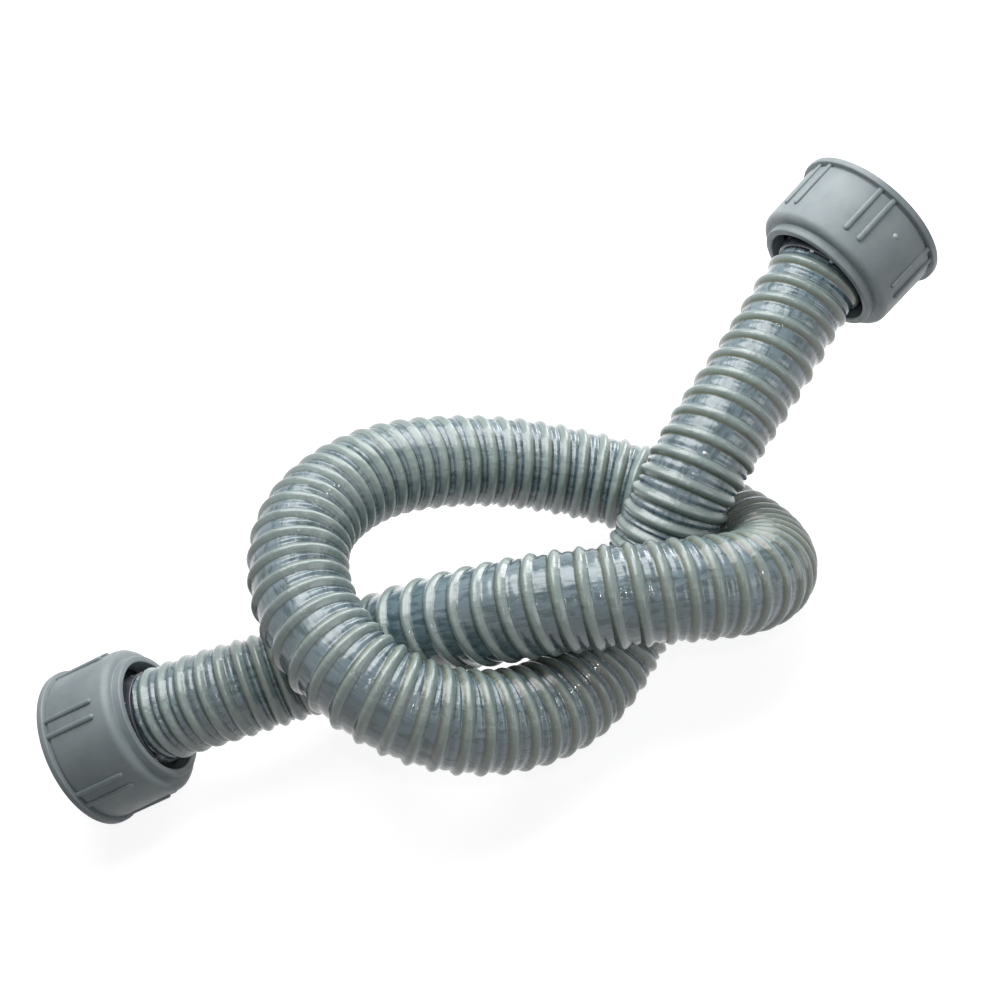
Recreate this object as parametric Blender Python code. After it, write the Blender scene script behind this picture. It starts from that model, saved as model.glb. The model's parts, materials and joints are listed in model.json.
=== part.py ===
# Flexible sink trap: a waste hose with a helical bead, tied in a loose overhand knot,
# with a flanged tail in each end and a loose union nut and washer on each tail.
# Metres, +Z up. It lies on the ground plane on one nut's lip and two stretches of hose.
# The origin is on the ground, under the middle of the whole part.

import math

import bmesh
import bpy
import numpy as np
from mathutils import Matrix, Vector

MM = 0.001

# Sizes in millimetres and degrees. A gap of FIT_GAP is left where two pieces seat.
FIT_GAP = 0.3
WELD_DISTANCE = 0.002
SHARP_EDGE = 35.0

HOSE_BORE = 30.0
HOSE_WALL = 1.2
BEAD_HEIGHT = 1.55
BEAD_WIDTH = 3.3
HOSE_SIDES = 13
BORE_RING_STEP = 16.0
# Nearer than this to the hose's end, the bead has run out.
BEAD_RUN_OUT = 0.3

# The hose is stretched here and squeezed there: distances along it, and the bead's pitch at each.
BEAD_PITCHES = [
    (0, 7.4), (20, 7.2), (32, 6.0), (60, 6.2), (105, 10.3), (123, 10.0), (138, 8.1), (195, 7.7),
    (235, 5.4), (270, 5.9), (340, 8.3), (375, 7.6), (415, 7.5), (450, 6.3), (490, 6.8), (508, 8.4),
    (528, 8.3), (550, 7.0), (600, 6.5), (655, 6.7), (710, 6.3), (760, 8.9), (811, 9.0),
]
# The share of a turn that the bead has made at the hose's end in nut a.
BEAD_START = 0.2

# The tail: a spigot in the hose's bore, a neck a step wider than that bore, and a flange.
TAIL_WALL = 1.5
TAIL_SHOULDER = 2.2
TAIL_NECK_LENGTH = 9.4
TAIL_FLANGE_THICKNESS = 3.0
TAIL_SPIGOT_LENGTH = 10.0
TAIL_EDGE = 0.5
TAIL_SIDES = 26

# The nut: its rear opening slides over the hose and holds the flange, which turns in its thread.
NUT_SLIDE = 3.25
NUT_HOLD = 1.3
FLANGE_CLEARANCE = 1.6
NUT_WALL = 4.4
NUT_LIP_PROUD = 1.7
NUT_RING_WALL = 2.7
NUT_LENGTH = 31.0
NUT_SOCKET_DEPTH = 24.0
NUT_LIP_THICKNESS = 2.4
NUT_BODY_TAPER = 0.8
NUT_REAR_ROUND = 3.2
NUT_RING_HEIGHT = 3.0
NUT_EDGE = 0.5
NUT_MOUTH_CHAMFER = 0.8
GRIP_PAIRS = 6
GRIP_PAIR_SPACING = 6.0
GRIP_WIDTH = 1.5
GRIP_HEIGHT = 0.7
GRIP_LENGTH = 19.0
GRIP_RAMP = 0.8
GRIP_COLUMNS_BETWEEN = 2

WASHER_WIDTH = 6.8
WASHER_THICKNESS = 3.0

# How far along the tail, from the hose's end towards the mouth, the nut hangs on its rear wall.
NUT_HANG = 2.5

# Each nut is loose, and hangs cocked on its tail: by how much, and about which side of the tail.
# A pair of its grips lies at grip_side, round the nut from straight up.
ENDS = {
    "a": {"cock": 5.0, "cock_side": 43.0, "grip_side": 20.0},
    "b": {"cock": 7.5, "cock_side": -59.0, "grip_side": -37.0},
}

BORE_RADIUS = HOSE_BORE / 2
VALLEY_RADIUS = BORE_RADIUS + HOSE_WALL
CREST_RADIUS = VALLEY_RADIUS + BEAD_HEIGHT
# the bore is faceted, and its flats lie inside its corners
SPIGOT_RADIUS = BORE_RADIUS * math.cos(math.pi / HOSE_SIDES) - FIT_GAP
NECK_RADIUS = BORE_RADIUS + TAIL_SHOULDER
OPENING_RADIUS = CREST_RADIUS + NUT_SLIDE
FLANGE_RADIUS = OPENING_RADIUS + NUT_HOLD
THREAD_RADIUS = FLANGE_RADIUS + FLANGE_CLEARANCE
BODY_RADIUS = THREAD_RADIUS + NUT_WALL
LIP_RADIUS = BODY_RADIUS + NUT_LIP_PROUD
RING_RADIUS = OPENING_RADIUS + NUT_RING_WALL

# The hose's centreline, from its end in nut a to its end in nut b, in millimetres.
ROUTE = [
    (-144.5, -1.5, 34.7),
    (-133, -3.5, 36.2),
    (-111, -7, 37.5),
    (-88.5, -7, 35),
    (-65, -11.5, 38),
    (-44.5, -19.5, 45),
    (-28, -28, 51),
    (-13, -36, 55.5),
    (6.5, -44, 58),
    (28, -50.5, 56),
    (49.5, -54, 50.5),
    (69, -51.5, 40.5),
    (80, -37, 28),
    (80, -16, 20),
    (71.5, 4, 18),
    (59, 23, 18.5),
    (42.5, 36, 25.5),
    (24, 43.5, 35.5),
    (4.5, 47, 46.5),
    (-15, 46.5, 57),
    (-34, 41, 67.5),
    (-52, 30, 75),
    (-67.5, 10.5, 79),
    (-73, -12.5, 75.5),
    (-69.5, -35, 69.5),
    (-59.5, -52.5, 60.5),
    (-44.5, -62, 48),
    (-26, -64, 36),
    (-7, -57.5, 25),
    (12, -43, 18),
    (29, -30, 22.5),
    (45, -21, 35.5),
    (60, -15, 51),
    (77.5, -5, 61),
    (94.5, 7, 65.5),
    (112, 19.5, 69.5),
    (130.5, 33, 75),
    (140.5, 38.5, 78.5),
]
SPAN_STEPS = 40
# Moves the route so that the origin lies on the ground, under the middle of the part.
ROUTE_SHIFT = (0.0, 2.2, 0.2)


def clear_scene():
    for thing in list(bpy.data.objects):
        bpy.data.objects.remove(thing, do_unlink=True)


def make_material(name, colour, roughness):
    material = bpy.data.materials.new(name)
    material.use_nodes = True
    shader = material.node_tree.nodes["Principled BSDF"]
    shader.inputs["Base Color"].default_value = (*colour, 1.0)
    shader.inputs["Roughness"].default_value = roughness
    shader.inputs["Metallic"].default_value = 0.0
    return material


def spline_through(points):
    """Samples a clamped cubic spline through the points, SPAN_STEPS to a span."""
    points = np.array(points, float)
    spans = np.linalg.norm(np.diff(points, axis=0), axis=1)
    count = len(points)
    system = np.zeros((count, count))
    right = np.zeros((count, 3))
    system[0, 0] = system[-1, -1] = 1.0
    right[0] = (points[1] - points[0]) / spans[0]
    right[-1] = (points[-1] - points[-2]) / spans[-1]
    for i in range(1, count - 1):
        before, after = spans[i - 1], spans[i]
        system[i, i - 1:i + 2] = after, 2 * (before + after), before
        right[i] = 3 * (before * (points[i + 1] - points[i]) / after
                        + after * (points[i] - points[i - 1]) / before)
    slopes = np.linalg.solve(system, right)
    samples = [points[0]]
    for i, span in enumerate(spans):
        for step in range(1, SPAN_STEPS + 1):
            t = step / SPAN_STEPS
            samples.append((1 + 2 * t) * (1 - t) ** 2 * points[i] + t * (1 - t) ** 2 * span * slopes[i]
                           + t * t * (3 - 2 * t) * points[i + 1] - t * t * (1 - t) * span * slopes[i + 1])
    return np.array(samples)


class Centreline:
    """The route with its length and a frame at each sample that never twists about it."""

    def __init__(self, points):
        self.points = spline_through(points)
        steps = np.linalg.norm(np.diff(self.points, axis=0), axis=1)
        self.stations = np.concatenate([[0.0], np.cumsum(steps)])
        self.length = self.stations[-1]
        tangents = np.gradient(self.points, self.stations, axis=0)
        self.tangents = tangents / np.linalg.norm(tangents, axis=1)[:, None]
        side = np.cross(self.tangents[0], (0.0, 0.0, 1.0))
        self.sides = []
        for tangent in self.tangents:
            side = side - side.dot(tangent) * tangent
            side = side / np.linalg.norm(side)
            self.sides.append(side)
        self.sides = np.array(self.sides)

    def place(self, station, angle, radius):
        """The point at an angle and a radius about the centreline, at a distance along it."""
        centre, tangent, side = (
            np.array([np.interp(station, self.stations, values[:, k]) for k in range(3)])
            for values in (self.points, self.tangents, self.sides))
        up = np.cross(tangent, side)
        return centre + radius * (math.cos(angle) * side + math.sin(angle) * up)


def new_object(name, mesh_data, material, parent=None):
    mesh = bpy.data.meshes.new(name)
    mesh_data.to_mesh(mesh)
    mesh_data.free()
    mesh.shade_smooth()
    mesh.set_sharp_from_angle(angle=math.radians(SHARP_EDGE))
    mesh.materials.append(material)
    thing = bpy.data.objects.new(name, mesh)
    bpy.context.collection.objects.link(thing)
    thing.parent = parent
    return thing


def new_empty(name, matrix, parent=None):
    empty = bpy.data.objects.new(name, None)
    bpy.context.collection.objects.link(empty)
    empty.parent = parent
    empty.matrix_local = matrix
    return empty


def close_up(mesh):
    """Welds the points that coincide and turns the faces outwards."""
    bmesh.ops.remove_doubles(mesh, verts=mesh.verts, dist=WELD_DISTANCE * MM)
    bmesh.ops.triangulate(mesh, faces=mesh.faces)
    bmesh.ops.recalc_face_normals(mesh, faces=mesh.faces)
    return mesh


def bead_turns(line):
    """Stations a little past both ends of the line, and how many turns the bead has made at each."""
    past = max(pitch for _, pitch in BEAD_PITCHES) * 2
    stations = np.concatenate([[-past], line.stations, [line.length + past]])
    pitches = np.interp(stations, *zip(*BEAD_PITCHES))
    turns = np.cumsum(np.diff(stations, prepend=stations[0]) / pitches)
    return stations, turns - np.interp(0.0, stations, turns) + BEAD_START


def hose_surface(line):
    """The hose wall: a skin of columns that climb with the helical bead, and a plain bore."""
    mesh = bmesh.new()
    half = BEAD_WIDTH / 2
    bead = [(-half, VALLEY_RADIUS), (0.0, CREST_RADIUS), (half, VALLEY_RADIUS)]
    stations, turns = bead_turns(line)
    last = math.ceil(np.interp(line.length, stations, turns)) + 1
    columns = []
    for side in range(HOSE_SIDES):
        angle = math.tau * side / HOSE_SIDES
        column = []
        for turn in range(-1, last):
            middle = np.interp(turn + side / HOSE_SIDES, turns, stations)
            for along, radius in bead:
                station = middle + along
                if station < BEAD_RUN_OUT:
                    station, radius = 0.0, VALLEY_RADIUS
                elif station > line.length - BEAD_RUN_OUT:
                    station, radius = line.length, VALLEY_RADIUS
                column.append(mesh.verts.new(line.place(station, angle, radius) * MM))
        columns.append(column)
    # after one turn the columns meet the first again, one turn of the bead further on
    columns.append(columns[0][len(bead):])
    for left, right in zip(columns, columns[1:]):
        for i in range(min(len(left), len(right)) - 1):
            mesh.faces.new((left[i], right[i], right[i + 1], left[i + 1]))

    rings = math.ceil(line.length / BORE_RING_STEP)
    bore = [[mesh.verts.new(line.place(line.length * ring / rings, math.tau * side / HOSE_SIDES, radius) * MM)
             for side in range(HOSE_SIDES)]
            for ring, radius in [(0, VALLEY_RADIUS)] + [(k, BORE_RADIUS) for k in range(rings + 1)]
            + [(rings, VALLEY_RADIUS)]]
    for near, far in zip(bore, bore[1:]):
        for side in range(HOSE_SIDES):
            after = (side + 1) % HOSE_SIDES
            mesh.faces.new((near[side], far[side], far[after], near[after]))
    return close_up(mesh)


def turned(profile, columns):
    """A closed profile of (radius, height, lift) turned about Z, lift being raised on raised columns."""
    mesh = bmesh.new()
    grid = [[mesh.verts.new(((radius + lift * raised) * MM * math.cos(angle),
                             (radius + lift * raised) * MM * math.sin(angle), height * MM))
             for radius, height, lift in profile]
            for angle, raised in columns]
    for near, far in zip(grid, grid[1:] + grid[:1]):
        for i in range(len(profile)):
            after = (i + 1) % len(profile)
            mesh.faces.new((near[i], far[i], far[after], near[after]))
    return close_up(mesh)


def plain_columns(count):
    return [(math.tau * i / count, 0.0) for i in range(count)]


def grip_columns():
    """Columns round the nut: each grip rib takes three, and plain ones fill the space between pairs."""
    half_spacing = GRIP_PAIR_SPACING / 2 / BODY_RADIUS
    half_width = GRIP_WIDTH / 2 / BODY_RADIUS
    pair = math.tau / GRIP_PAIRS
    outer = half_spacing + half_width
    columns = []
    for k in range(GRIP_PAIRS):
        for rib in (-half_spacing, half_spacing):
            for offset, raised in ((-half_width, 0.0), (0.0, 1.0), (half_width, 0.0)):
                columns.append((k * pair + rib + offset, raised))
        free = pair - 2 * outer
        for j in range(1, GRIP_COLUMNS_BETWEEN + 1):
            columns.append((k * pair + outer + free * j / (GRIP_COLUMNS_BETWEEN + 1), 0.0))
    return columns


def nut_profile():
    """The nut's section, from the mouth at height 0 to the ring round the rear opening."""
    middle = BODY_RADIUS - NUT_BODY_TAPER / 4
    rear = BODY_RADIUS - NUT_BODY_TAPER / 2
    shoulder = NUT_LENGTH - NUT_RING_HEIGHT
    grip_end = NUT_LIP_THICKNESS + GRIP_LENGTH
    corner = NUT_REAR_ROUND * (1 - math.sqrt(0.5))
    return [
        (THREAD_RADIUS + NUT_MOUTH_CHAMFER, 0.0, 0.0),
        (LIP_RADIUS - NUT_EDGE, 0.0, 0.0),
        (LIP_RADIUS, NUT_EDGE, 0.0),
        (LIP_RADIUS, NUT_LIP_THICKNESS - NUT_EDGE, 0.0),
        (BODY_RADIUS, NUT_LIP_THICKNESS, GRIP_HEIGHT),
        (middle, grip_end, GRIP_HEIGHT),
        (middle, grip_end + GRIP_RAMP, 0.0),
        (rear, shoulder - NUT_REAR_ROUND, 0.0),
        (rear - corner, shoulder - corner, 0.0),
        (rear - NUT_REAR_ROUND, shoulder, 0.0),
        (RING_RADIUS, shoulder, 0.0),
        (RING_RADIUS, NUT_LENGTH - NUT_EDGE, 0.0),
        (RING_RADIUS - NUT_EDGE, NUT_LENGTH, 0.0),
        (OPENING_RADIUS + NUT_EDGE, NUT_LENGTH, 0.0),
        (OPENING_RADIUS, NUT_LENGTH - NUT_EDGE, 0.0),
        (OPENING_RADIUS, NUT_SOCKET_DEPTH, 0.0),
        (THREAD_RADIUS, NUT_SOCKET_DEPTH, 0.0),
        (THREAD_RADIUS, NUT_MOUTH_CHAMFER, 0.0),
    ]


def tail_profile():
    """The tail's section, with height 0 at the hose's end and its flange towards the mouth."""
    bore = SPIGOT_RADIUS - TAIL_WALL
    face = TAIL_NECK_LENGTH + TAIL_FLANGE_THICKNESS
    return [
        (bore, -TAIL_SPIGOT_LENGTH, 0.0),
        (bore, face - TAIL_EDGE, 0.0),
        (bore + TAIL_EDGE, face, 0.0),
        (FLANGE_RADIUS - TAIL_EDGE, face, 0.0),
        (FLANGE_RADIUS, face - TAIL_EDGE, 0.0),
        (FLANGE_RADIUS, TAIL_NECK_LENGTH, 0.0),
        (NECK_RADIUS, TAIL_NECK_LENGTH, 0.0),
        (NECK_RADIUS, FIT_GAP, 0.0),
        (SPIGOT_RADIUS, FIT_GAP, 0.0),
        (SPIGOT_RADIUS, -TAIL_SPIGOT_LENGTH, 0.0),
    ]


def washer_profile(back):
    """The washer's section, its back at the given height above the nut's mouth."""
    bore = FLANGE_RADIUS - WASHER_WIDTH
    front = back - WASHER_THICKNESS
    return [(bore, front, 0.0), (FLANGE_RADIUS, front, 0.0), (FLANGE_RADIUS, back, 0.0), (bore, back, 0.0)]


def build_end(name, point, outward, cock, cock_side, grip_side, materials):
    """One end: an empty on the tail's axis carries the tail, and one on the nut's axis the nut and washer."""
    turn = Vector(outward).to_track_quat("Z", "Y").to_matrix().to_4x4()
    tail_place = Matrix.Translation(Vector(point) * MM) @ turn
    tail_axis = new_empty(f"tail_{name}_axis", tail_place)
    new_object(f"tail_{name}", turned(tail_profile(), plain_columns(TAIL_SIDES)), materials["tail"], tail_axis)

    # the nut pivots where its rear wall hangs on the neck; its own Z then runs from mouth to ring
    half_wall = (NUT_LENGTH - NUT_SOCKET_DEPTH) / 2
    mouth = NUT_LENGTH - half_wall
    pivot = Matrix.Translation((0, 0, NUT_HANG * MM))
    lean = (Matrix.Rotation(math.radians(cock_side), 4, "Z")
            @ Matrix.Rotation(math.radians(cock), 4, "X"))
    flip = Matrix.Translation((0, 0, mouth * MM)) @ Matrix.Rotation(math.pi, 4, "X")
    hang = pivot @ lean @ flip
    up = (tail_place @ hang).inverted().to_3x3() @ Vector((0, 0, 1))
    spin = Matrix.Rotation(math.atan2(up.y, up.x) + math.radians(grip_side), 4, "Z")
    nut_axis = new_empty(f"nut_{name}_axis", hang @ spin, tail_axis)
    new_object(f"nut_{name}", turned(nut_profile(), grip_columns()), materials["nut"], nut_axis)

    # the cocked flange reaches this far towards the mouth, and the washer lies just clear of it
    flange_face = TAIL_NECK_LENGTH + TAIL_FLANGE_THICKNESS - NUT_HANG
    reach = (flange_face * math.cos(math.radians(cock))
             + FLANGE_RADIUS * math.sin(math.radians(cock)))
    back = mouth - reach - FIT_GAP
    new_object(f"washer_{name}", turned(washer_profile(back), plain_columns(TAIL_SIDES)),
               materials["washer"], nut_axis)


def build():
    clear_scene()
    materials = {
        "hose": make_material("hose_pvc", (0.24, 0.30, 0.31), 0.25),
        "tail": make_material("tail_pvc", (0.07, 0.08, 0.09), 0.35),
        "nut": make_material("nut_plastic", (0.19, 0.23, 0.24), 0.45),
        "washer": make_material("washer_rubber", (0.03, 0.03, 0.03), 0.7),
    }
    line = Centreline(np.array(ROUTE) + ROUTE_SHIFT)
    new_object("hose", hose_surface(line), materials["hose"])
    build_end("a", line.points[0], -line.tangents[0], **ENDS["a"], materials=materials)
    build_end("b", line.points[-1], line.tangents[-1], **ENDS["b"], materials=materials)


build()
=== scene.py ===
# Flexible sink trap: a glossy grey waste hose with a helical bead, knotted once,
# with a smooth flanged tail, a loose union nut and a rubber washer at each end.
import json
import math

import bmesh
import bpy
import numpy as np
from mathutils import Matrix, Vector


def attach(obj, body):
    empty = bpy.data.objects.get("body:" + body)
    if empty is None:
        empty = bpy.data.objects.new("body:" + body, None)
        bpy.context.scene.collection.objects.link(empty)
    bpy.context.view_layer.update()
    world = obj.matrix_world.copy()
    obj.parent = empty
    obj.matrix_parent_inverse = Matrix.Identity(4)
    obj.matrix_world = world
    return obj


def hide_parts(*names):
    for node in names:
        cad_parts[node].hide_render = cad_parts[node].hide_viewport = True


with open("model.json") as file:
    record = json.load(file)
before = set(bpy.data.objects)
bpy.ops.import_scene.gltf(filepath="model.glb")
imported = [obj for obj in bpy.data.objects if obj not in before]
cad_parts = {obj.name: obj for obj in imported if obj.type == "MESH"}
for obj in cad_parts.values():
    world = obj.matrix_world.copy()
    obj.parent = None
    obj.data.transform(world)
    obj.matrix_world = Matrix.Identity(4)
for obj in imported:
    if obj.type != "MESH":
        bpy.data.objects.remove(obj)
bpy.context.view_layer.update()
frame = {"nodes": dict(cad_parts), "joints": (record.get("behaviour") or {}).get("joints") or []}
print("frame loaded")

mm = 0.001

# camera: where the photograph was taken from, looking along +Y and down, and rolled
cameraView = {
    "place": (0.001696, -0.357206, 0.406228),
    "elevation": 43.08,
    "roll": -21.89,
    "lens": 50.544,
    "sensor": 36.0,
    "near": 0.01,
    "far": 50.0,
}

# hose: sizes in metres, counts of faces, and the centreline from nut a's end to nut b's end
hose = {
    "bore": 0.0300,
    "wall": 0.0012,
    "beadHeight": 0.00155,
    "beadWidth": 0.0048,    # with the soft feet that run into the wall
    "beadRoundness": 1.3,   # 1 is a half sine, more makes the feet softer
    "length": 0.811,
    "sides": 48,
    "beadSteps": 10,
    "valleySteps": 6,
    "boreRings": 120,
    "spanSteps": 24,
    "turnSteps": 24,        # samples of the centreline to a turn of the bead
    "spareTurns": 4,        # turns of the skin beyond the hose's ends, where they close up
    "slip": 0.0001,         # share of a turn beyond an end that still counts as on the hose
    "packed": 0.86,         # most of the pitch that a bead may take on the inside of a bend
    "footFade": 1.6,        # the foot's tint ends after 1 / 1.6 of the bead's width
    "flatPitch": 0.0097,    # beads this far apart stretch the wall between them flat
    "tightPitch": 0.0072,   # beads this close make it bulge out the most
    "bulge": 0.00075,
    "bulgeShare": 0.4,      # most that the bulge's height may be of the wall between two beads
    "bulgeRoundness": 1.5,
    "beadStart": 0.2,       # share of a turn that the bead has made at nut a's end
    "weld": 0.000004,
    "closedUp": 0.000002,   # edges shorter than this are dissolved
    "sharpAngle": 60,
    "pitches": [
        # distance along the hose and the bead's pitch there, in millimetres
        (0, 7.4), (20, 7.2), (32, 6.0), (60, 6.2), (105, 10.3), (123, 10.0), (138, 8.1), (195, 7.7),
        (235, 5.4), (270, 5.9), (340, 8.3), (375, 7.6), (415, 7.5), (450, 6.3), (490, 6.8), (508, 8.4),
        (528, 8.3), (550, 7.0), (600, 6.5), (655, 6.7), (710, 6.3), (760, 8.9), (811, 9.0),
    ],
    "shift": (0.0, 0.0022, 0.0002),     # from the route's own frame to the object's
    "route": [
        (-0.1445, -0.0015, 0.0347), (-0.133, -0.0035, 0.0362), (-0.111, -0.007, 0.0375),
        (-0.0885, -0.007, 0.035), (-0.065, -0.0115, 0.038), (-0.0445, -0.0195, 0.045),
        (-0.028, -0.028, 0.051), (-0.013, -0.036, 0.0555), (0.0065, -0.044, 0.058),
        (0.028, -0.0505, 0.056), (0.0495, -0.054, 0.0505), (0.069, -0.0515, 0.0405),
        (0.080, -0.037, 0.028), (0.080, -0.016, 0.020), (0.0715, 0.004, 0.018),
        (0.059, 0.023, 0.0185), (0.0425, 0.036, 0.0255), (0.024, 0.0435, 0.0355),
        (0.0045, 0.047, 0.0465), (-0.015, 0.0465, 0.057), (-0.034, 0.041, 0.0675),
        (-0.052, 0.030, 0.075), (-0.0675, 0.0105, 0.079), (-0.073, -0.0125, 0.0755),
        (-0.0695, -0.035, 0.0695), (-0.0595, -0.0525, 0.0605), (-0.0445, -0.062, 0.048),
        (-0.026, -0.064, 0.036), (-0.007, -0.0575, 0.025), (0.012, -0.043, 0.018),
        (0.029, -0.030, 0.0225), (0.045, -0.021, 0.0355), (0.060, -0.015, 0.051),
        (0.0775, -0.005, 0.061), (0.0945, 0.007, 0.0655), (0.112, 0.0195, 0.0695),
        (0.1305, 0.033, 0.075), (0.1405, 0.0385, 0.0785),
    ],
}

# tail: the flanged end piece glued into the hose, height 0 at the hose's end
tail = {
    "bore": 0.0255,
    "neck": 0.0344,
    "neckLength": 0.0094,
    "flange": 0.0446,
    "flangeThickness": 0.0030,
    "spigot": 0.0285,
    "spigotLength": 0.0100,
    "gap": 0.0003,
    "endRound": 0.0004,
    "mouthRound": 0.0006,
    "flangeRound": 0.0005,
    "neckRound": 0.0006,
    "sides": 96,
    "sharpAngle": 40,
}

# specks: flecks of dried glue on a tail's neck, beside the hose's end
specks = {
    "count": 26,
    "size": 0.00045,
    "reach": 0.5,       # share of the neck's length
    "crowding": 2.0,    # above 1 brings them closer to the hose
    "sizes": (0.4, 1.3),
    "lengths": (0.6, 1.8),
    "flatness": 0.35,
    "seeds": {"a": 3, "b": 11},
    "sharpAngle": 80,
}

# nut: the union nut, height 0 at its mouth and rising to the ring round its rear opening
nut = {
    "length": 0.0310,
    "thread": 0.0478,
    "socketDepth": 0.0240,
    "lip": 0.0600,
    "lipThickness": 0.0024,
    "body": 0.0566,
    "taper": 0.0008,
    "mouthChamfer": 0.0008,
    "grooveDepth": 0.0011,      # behind the lip
    "grooveHeight": 0.0009,
    "edgeRound": 0.00015,       # roundings of its corners
    "lipRound": 0.00045,
    "lipBackRound": 0.00055,
    "grooveRound": 0.0002,
    "footRound": 0.00025,
    "rearRound": 0.0025,
    "ringRound": 0.0006,
    "innerRound": 0.0003,
    "ring": 0.0474,
    "ringHeight": 0.0030,
    "ringStep": 0.0002,
    "opening": 0.0420,
    "sides": 144,
    "sharpAngle": 40,
    "gripPairs": 6,
    "gripSpacing": 0.0060,
    "gripWidth": 0.0021,
    "gripHeight": 0.0008,
    "gripSink": 0.0005,     # how far a rib reaches into the lip
    "gripEnd": 0.0222,
    "gripSteps": 40,
    "gripSides": 12,
    "gripTip": 0.05,        # share of a rib's width left at its very end
    "threadPitch": 0.00231,
    "threadDepth": 0.00125,
    "threadRoot": 1.7,      # widths of the ridge at its root and crest, as shares of half a pitch
    "threadCrest": 0.3,
    "threadStart": 0.0022,
    "threadTurns": 6.5,
    "threadSteps": 72,
    "threadEntry": 3,       # the ridge is whole after a third of a turn
    "threadTip": 0.05,
    "pairAngle": {"a": 20.0, "b": -37.0},   # a pair of ribs, turned about the nut from straight up
    "gate": {"a": -125.0, "b": -61.2},      # the nub that the moulding gate left, turned likewise
    "gateHeight": 0.0109,
    "gateRadius": 0.00095,
    "gateFlatness": 0.6,
    "gateSink": 0.0001,
}

# washer: black rubber, seated in the nut in front of the tail's flange
washer = {
    "bore": 0.0310,
    "rim": 0.0446,
    "thickness": 0.0030,
    "round": 0.0004,
    "sides": 96,
    "sharpAngle": 50,
}

arcSteps = 4    # parts of the arc in each rounded corner of a turned section


# node trees

class Field:
    # one output of a node, with operators that add Math nodes to its tree
    def __init__(self, tree, node, result=0):
        self.tree, self.node = tree, node
        self.socket = node.outputs[result] if node.outputs else None

    def at(self, result):
        return Field(self.tree, self.node, result)

    def maths(self, operation, *values):
        return addNode(self.tree, "ShaderNodeMath", {"operation": operation}, dict(enumerate(values)))

    def __add__(self, other):
        return self.maths("ADD", self, other)

    def __radd__(self, other):
        return self.maths("ADD", other, self)

    def __sub__(self, other):
        return self.maths("SUBTRACT", self, other)

    def __rsub__(self, other):
        return self.maths("SUBTRACT", other, self)

    def __mul__(self, other):
        return self.maths("MULTIPLY", self, other)

    def __rmul__(self, other):
        return self.maths("MULTIPLY", other, self)

    def __truediv__(self, other):
        return self.maths("DIVIDE", self, other)

    def __mod__(self, other):
        return self.maths("FLOORED_MODULO", self, other)

    def __lt__(self, other):
        return self.maths("LESS_THAN", self, other)

    def __gt__(self, other):
        return self.maths("GREATER_THAN", self, other)

    def __pow__(self, other):
        return self.maths("POWER", self, other)

    def floor(self):
        return self.maths("FLOOR", self)

    def size(self):
        return self.maths("ABSOLUTE", self)

    def sin(self):
        return self.maths("SINE", self)

    def cos(self):
        return self.maths("COSINE", self)

    def most(self, other):
        return self.maths("MINIMUM", self, other)

    def least(self, other):
        return self.maths("MAXIMUM", self, other)

    def pick(self, yes, no):
        return self * yes + (1 - self) * no


def feed(tree, node, sockets):
    # links or sets a node's inputs
    for name, value in sockets.items():
        if isinstance(value, Field):
            tree.links.new(value.socket, node.inputs[name])
        else:
            node.inputs[name].default_value = value


def addNode(tree, kind, settings=None, sockets=None, result=0):
    node = tree.nodes.new(kind)
    for name, value in (settings or {}).items():
        setattr(node, name, value)
    feed(tree, node, sockets or {})
    return Field(tree, node, result)


def vectorMaths(operation, first, second=(0.0, 0.0, 0.0), result=0):
    return addNode(first.tree, "ShaderNodeVectorMath", {"operation": operation},
                   {0: first, 1: second}, result)


def scaled(vector, factor):
    return addNode(vector.tree, "ShaderNodeVectorMath", {"operation": "SCALE"},
                   {"Vector": vector, "Scale": factor})


def vectorOf(tree, x, y, z):
    return addNode(tree, "ShaderNodeCombineXYZ", None, {0: x, 1: y, 2: z})


def aboutZ(radius, angle, height):
    return vectorOf(angle.tree, radius * angle.cos(), radius * angle.sin(), height)


def turnedAboutZ(angle):
    return addNode(angle.tree, "FunctionNodeEulerToRotation", None,
                   {"Euler": vectorOf(angle.tree, 0.0, 0.0, angle)})


def mixColour(factor, first, second):
    # the colour sockets of a Mix node are its 7th and 8th inputs and its 3rd output
    return addNode(factor.tree, "ShaderNodeMix", {"data_type": "RGBA"}, {0: factor, 6: first, 7: second}, 2)


def newTree(name, numbers, counts):
    # a Geometry Nodes tree with its named numbers and counts as inputs after its geometry
    tree = bpy.data.node_groups.new(name, "GeometryNodeTree")
    tree.interface.new_socket("Geometry", in_out="INPUT", socket_type="NodeSocketGeometry")
    tree.interface.new_socket("Geometry", in_out="OUTPUT", socket_type="NodeSocketGeometry")
    for labels, kind in ((numbers, "NodeSocketFloat"), (counts, "NodeSocketInt")):
        for label in labels:
            tree.interface.new_socket(label, in_out="INPUT", socket_type=kind)
    return tree, addNode(tree, "NodeGroupInput")


def joinedParts(tree, parts):
    joined = addNode(tree, "GeometryNodeJoinGeometry")
    for part in parts:
        tree.links.new(part.socket, joined.node.inputs[0])
    return joined


def finishTree(tree, geometry, material):
    realized = addNode(tree, "GeometryNodeRealizeInstances", None, {"Geometry": geometry})
    painted = addNode(tree, "GeometryNodeSetMaterial", None, {"Geometry": realized, "Material": material})
    addNode(tree, "NodeGroupOutput", None, {"Geometry": painted})


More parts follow.
